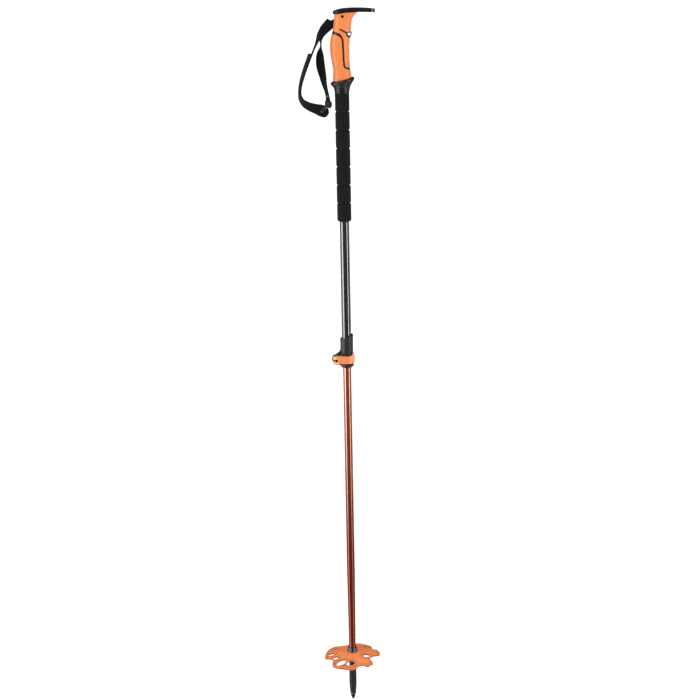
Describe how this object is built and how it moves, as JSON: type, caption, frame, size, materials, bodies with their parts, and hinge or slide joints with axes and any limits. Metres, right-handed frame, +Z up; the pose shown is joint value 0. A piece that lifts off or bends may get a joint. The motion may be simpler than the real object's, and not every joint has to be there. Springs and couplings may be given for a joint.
{
  "type": "ski pole",
  "caption": "Adjustable touring ski pole: two sliding tubes with a lever lock, hooked grip, foam hand zone, padded wrist strap and a round powder basket.",
  "frame": {"origin": "lowest point of the tip, on the shaft's axis", "axes": "+Z up the shaft, +X along the hook plate, the wrist strap on the -X side, +Y completes a right-handed frame"},
  "size_m": [0.1293, 0.0988, 1.2588],
  "materials": {
    "carbide": "sintered hard metal, dark satin",
    "tip_metal": "blackened steel, satin",
    "black_plastic": "moulded, satin with soft sheen",
    "orange_plastic": "moulded, satin",
    "orange_rubber": "soft touch, fine grain on the head",
    "upper_anodised": "dark grey anodised, satin",
    "lower_anodised": "copper orange anodised, satin",
    "steel": "turned steel",
    "foam": "closed-cell foam, matt",
    "webbing": "woven tape, matt",
    "pad": "padded fabric, matt",
    "inner_plastic": "plain moulded"
  },
  "bodies": {
    "root": {"upper_shaft": "upper_anodised", "shaft_plug": "inner_plastic", "reducer_bush": "inner_plastic", "clamp_collar": "black_plastic", "cam_pad": "steel", "barrel_pin": "steel", "foam_sleeve": "foam", "grip_collar": "black_plastic", "grip_core": "black_plastic", "grip_palm_skin": "orange_rubber", "grip_head_skin": "orange_rubber", "lanyard_eyelet": "black_plastic", "hook_plate": "black_plastic", "scraper_insert": "black_plastic", "strap_pin": "steel", "strap_anchor": "webbing"},
    "lock_lever": {"lock_lever": "orange_plastic"},
    "tension_screw": {"tension_screw": "steel"},
    "lower_guide": {"guide_plug": "inner_plastic"},
    "lower_section": {"lower_shaft": "lower_anodised", "tip_ferrule": "black_plastic", "tip_holder": "tip_metal", "carbide_insert": "carbide"},
    "basket": {"basket": "orange_plastic"},
    "strap": {"strap_webbing_left": "webbing", "strap_webbing_right": "webbing", "strap_pad": "pad", "strap_slider": "black_plastic"}
  },
  "joints": [
    {"name": "height_slide", "type": "slide", "parent": "root", "child": "lower_guide", "axis": [0, 0, 1], "range_m": [-0.19, 0.21]},
    {"name": "lower_turn", "type": "hinge", "parent": "lower_guide", "child": "lower_section", "pos_m": [0, 0, 0.5], "axis": [0, 0, 1], "continuous": true},
    {"name": "basket_turn", "type": "hinge", "parent": "lower_section", "child": "basket", "pos_m": [0, 0, 0.09], "axis": [0, 0, 1], "continuous": true},
    {"name": "lever_hinge", "type": "hinge", "parent": "root", "child": "lock_lever", "pos_m": [-0.019, -0.0095, 0.6624], "axis": [0, 0, -1], "range_deg": [0, 130]},
    {"name": "tension_screw_turn", "type": "hinge", "parent": "root", "child": "tension_screw", "pos_m": [-0.019, 0, 0.6624], "axis": [0, 1, 0], "continuous": true},
    {"name": "strap_swing", "type": "hinge", "parent": "root", "child": "strap", "pos_m": [-0.0135, 0, 1.235], "axis": [0, 1, 0], "range_deg": [0, 80]}
  ]
}
